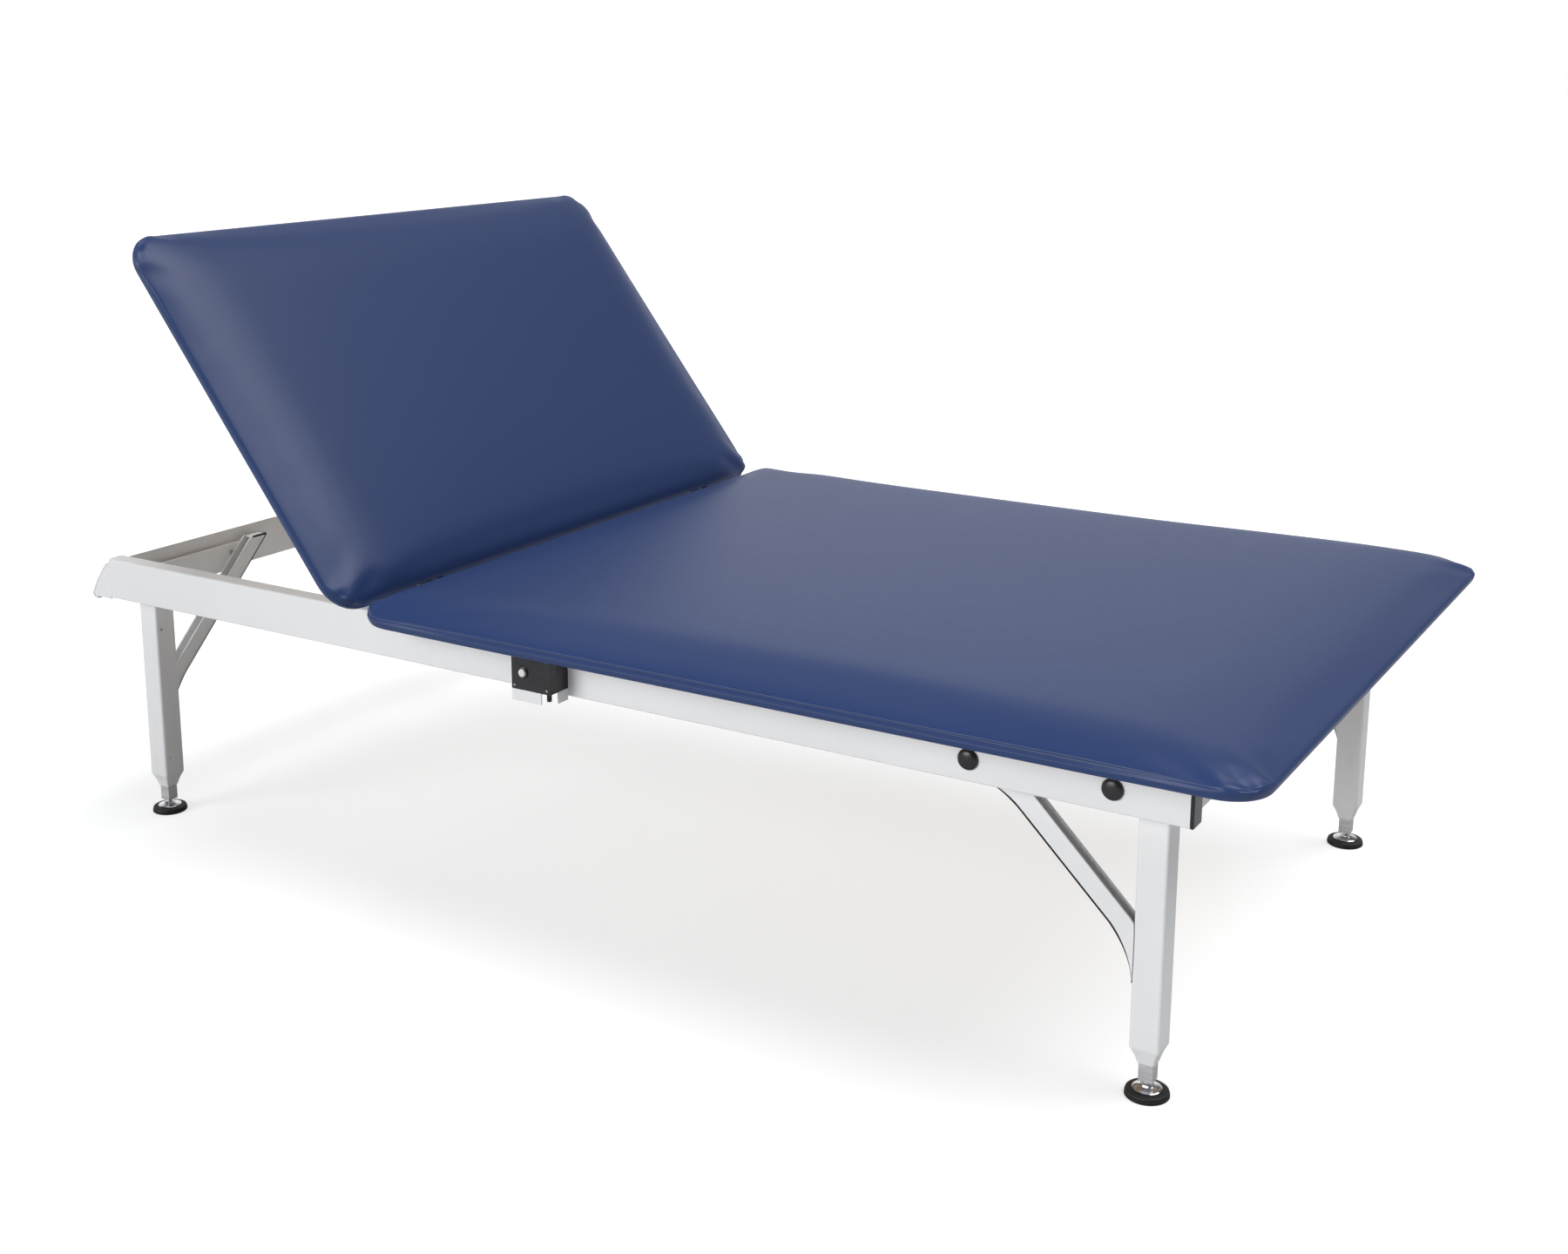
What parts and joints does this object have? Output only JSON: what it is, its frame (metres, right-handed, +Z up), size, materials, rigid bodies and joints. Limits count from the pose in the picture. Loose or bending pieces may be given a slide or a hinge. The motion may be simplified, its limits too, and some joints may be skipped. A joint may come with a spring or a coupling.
{
  "type": "examination couch",
  "caption": "Wide padded examination couch on a four-legged steel frame, with a hinged backrest raised by a hidden linear actuator and four levelling feet.",
  "frame": {"origin": "middle of the object's footprint, on the floor", "axes": "+X towards the foot end, +Y towards the far side (the control box is on -Y), +Z up"},
  "size_m": [2.119, 1.219, 1.057],
  "materials": {
    "white_paint": "smooth white powder coat, semi-gloss",
    "vinyl": "slate blue vinyl-coated upholstery fabric over foam, soft sheen",
    "plywood": "sanded birch plywood",
    "black_plastic": "black moulded plastic",
    "white_plastic": "white gloss plastic",
    "bare_steel": "zinc plated steel",
    "rubber": "black moulded rubber",
    "chrome": "chrome plated",
    "aluminium": "natural anodised",
    "bronze": "sintered bronze"
  },
  "bodies": {
    "frame": {"actuator_bracket": "white_paint", "actuator_rear_pin": "bare_steel", "brace_foot_far": "white_paint", "brace_foot_near": "white_paint", "brace_head_far": "white_paint", "brace_head_near": "white_paint", "button_bezel": "black_plastic", "cable_gland": "black_plastic", "control_box_bracket": "white_paint", "control_box_case": "black_plastic", "foot_rail": "white_paint", "head_rail": "white_paint", "head_rail_end_plates": "white_paint", "hinge_cross_tube": "white_paint", "hinge_lugs": "white_paint", "hinge_pins": "bare_steel", "leg_bolts": "bare_steel", "leg_foot_far": "white_paint", "leg_foot_near": "white_paint", "leg_head_far": "white_paint", "leg_head_near": "white_paint", "leg_necks": "bare_steel", "leg_plate_spacers": "bare_steel", "leg_plates": "white_paint", "mains_inlet": "black_plastic", "power_pack_case": "black_plastic", "power_pack_hanger": "white_paint", "power_pack_lid": "black_plastic", "rail_end_caps": "black_plastic", "seat_bearers": "white_paint", "seat_board": "plywood", "seat_clips": "white_paint", "seat_pad": "vinyl", "seat_screws": "bare_steel", "side_rail_far": "white_paint", "side_rail_near": "white_paint"},
    "backrest": {"backrest_pad": "vinyl", "backrest_buffers": "rubber", "backrest_board": "plywood", "backrest_screws": "bare_steel", "backrest_side_tubes": "white_paint", "backrest_cross_tubes": "white_paint", "backrest_knuckles": "white_paint", "hinge_bushes": "bronze", "lift_lever": "white_paint"},
    "actuator_housing": {"actuator_gearcase": "black_plastic", "actuator_motor": "black_plastic", "actuator_outer_tube": "aluminium"},
    "actuator_rod_body": {"actuator_rod": "chrome", "actuator_rod_eye": "chrome", "actuator_front_pin": "bare_steel"},
    "button": {"push_button": "white_plastic"},
    "levelling_foot_head_near": {"foot_stem_head_near": "chrome", "foot_pad_head_near": "rubber"},
    "levelling_foot_head_far": {"foot_stem_head_far": "chrome", "foot_pad_head_far": "rubber"},
    "levelling_foot_foot_near": {"foot_stem_foot_near": "chrome", "foot_pad_foot_near": "rubber"},
    "levelling_foot_foot_far": {"foot_stem_foot_far": "chrome", "foot_pad_foot_far": "rubber"}
  },
  "joints": [
    {"name": "backrest_hinge", "type": "hinge", "parent": "frame", "child": "backrest", "pos_m": [-0.4055, 0, 0.48], "axis": [0, 1, 0], "range_deg": [-52, 18]},
    {"name": "actuator_tilt", "type": "hinge", "parent": "frame", "child": "actuator_housing", "pos_m": [-0.4155, 0, 0.395], "axis": [0, 1, 0], "range_deg": [-46, 16.5]},
    {"name": "actuator_stroke", "type": "slide", "parent": "actuator_housing", "child": "actuator_rod_body", "axis": [-0.5976, 0, 0.8018], "range_m": [-0.065, 0.0235]},
    {"name": "button_press", "type": "slide", "parent": "frame", "child": "button", "axis": [0, 1, 0], "range_m": [0, 0.003], "stiffness_N_per_m": 600, "springref_m": -0.003},
    {"name": "foot_height_head_near", "type": "slide", "parent": "frame", "child": "levelling_foot_head_near", "axis": [0, 0, -1], "range_m": [-0.004, 0.012]},
    {"name": "foot_height_head_far", "type": "slide", "parent": "frame", "child": "levelling_foot_head_far", "axis": [0, 0, -1], "range_m": [-0.004, 0.012]},
    {"name": "foot_height_foot_near", "type": "slide", "parent": "frame", "child": "levelling_foot_foot_near", "axis": [0, 0, -1], "range_m": [-0.004, 0.012]},
    {"name": "foot_height_foot_far", "type": "slide", "parent": "frame", "child": "levelling_foot_foot_far", "axis": [0, 0, -1], "range_m": [-0.004, 0.012]}
  ],
  "couplings": [
    {"joint": "actuator_tilt", "follows": "backrest_hinge", "ratio": 0.87},
    {"joint": "actuator_stroke", "follows": "backrest_hinge", "m_per_rad": 0.069991}
  ]
}
